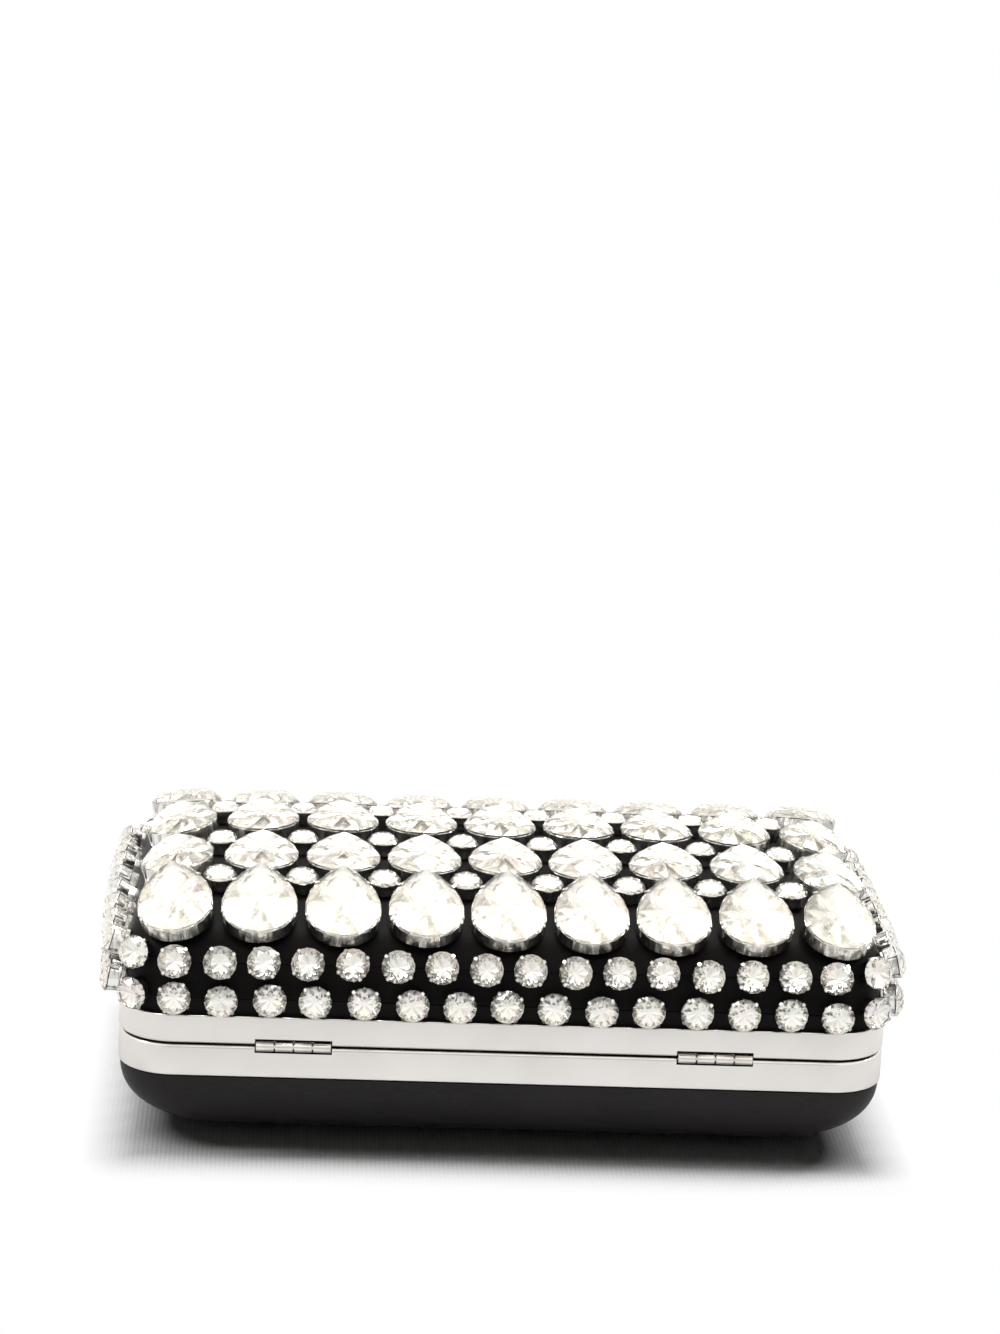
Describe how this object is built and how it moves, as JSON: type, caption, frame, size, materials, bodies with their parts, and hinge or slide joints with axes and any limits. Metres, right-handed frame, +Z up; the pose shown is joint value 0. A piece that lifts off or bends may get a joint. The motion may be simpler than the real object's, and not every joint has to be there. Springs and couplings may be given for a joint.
{
  "type": "crystal clutch",
  "caption": "Hard box clutch: a satin covered tray and domed lid in metal bands, hinged on one long edge, with a push clasp; pear and round crystals in metal settings cover the lid.",
  "frame": {"origin": "middle of the flat back that the clutch lies on, under the centre of its outline", "axes": "+X along the width, +Y from the hinged edge to the clasp edge, +Z up from the flat back to the crystals"},
  "size_m": [0.1948, 0.1158, 0.0674],
  "materials": {
    "satin": "black satin",
    "lining": "matt black",
    "frame_metal": "polished",
    "hinge_metal": "polished",
    "crystal": "faceted, foil backed"
  },
  "bodies": {
    "base": {"base_shell": "satin", "base_frame": "frame_metal", "base_lining": "lining", "hinge_left_base_leaf": "hinge_metal", "hinge_right_base_leaf": "hinge_metal", "hinge_left_pin": "hinge_metal", "hinge_right_pin": "hinge_metal", "latch_housing": "hinge_metal", "latch_spring": "hinge_metal"},
    "lid": {"lid_shell": "satin", "lid_frame": "frame_metal", "lid_lining": "lining", "hinge_left_lid_leaf": "hinge_metal", "hinge_right_lid_leaf": "hinge_metal", "latch_hook": "hinge_metal", "round_ring_lower": "crystal", "round_ring_upper": "crystal", "round_row_1": "crystal", "round_row_2": "crystal", "round_row_3": "crystal", "pear_r1_c1": "crystal", "pear_r1_c2": "crystal", "pear_r1_c3": "crystal", "pear_r1_c4": "crystal", "pear_r1_c5": "crystal", "pear_r1_c6": "crystal", "pear_r1_c7": "crystal", "pear_r1_c8": "crystal", "pear_r1_c9": "crystal", "pear_r2_c1": "crystal", "pear_r2_c2": "crystal", "pear_r2_c3": "crystal", "pear_r2_c4": "crystal", "pear_r2_c5": "crystal", "pear_r2_c6": "crystal", "pear_r2_c7": "crystal", "pear_r2_c8": "crystal", "pear_r2_c9": "crystal", "pear_r3_c1": "crystal", "pear_r3_c2": "crystal", "pear_r3_c3": "crystal", "pear_r3_c4": "crystal", "pear_r3_c5": "crystal", "pear_r3_c6": "crystal", "pear_r3_c7": "crystal", "pear_r3_c8": "crystal", "pear_r3_c9": "crystal", "pear_r4_c1": "crystal", "pear_r4_c2": "crystal", "pear_r4_c3": "crystal", "pear_r4_c4": "crystal", "pear_r4_c5": "crystal", "pear_r4_c6": "crystal", "pear_r4_c7": "crystal", "pear_r4_c8": "crystal", "pear_r4_c9": "crystal"},
    "button": {"latch_button": "frame_metal"}
  },
  "joints": [
    {"name": "lid_hinge", "type": "hinge", "parent": "base", "child": "lid", "pos_m": [0, -0.0542, 0.02705], "axis": [1, 0, 0], "range_deg": [0, 110]},
    {"name": "button_press", "type": "slide", "parent": "base", "child": "button", "axis": [0, -1, 0], "range_m": [0, 0.0015], "stiffness_N_per_m": 600, "springref_m": -0.002, "deforming": ["latch_spring"]}
  ]
}
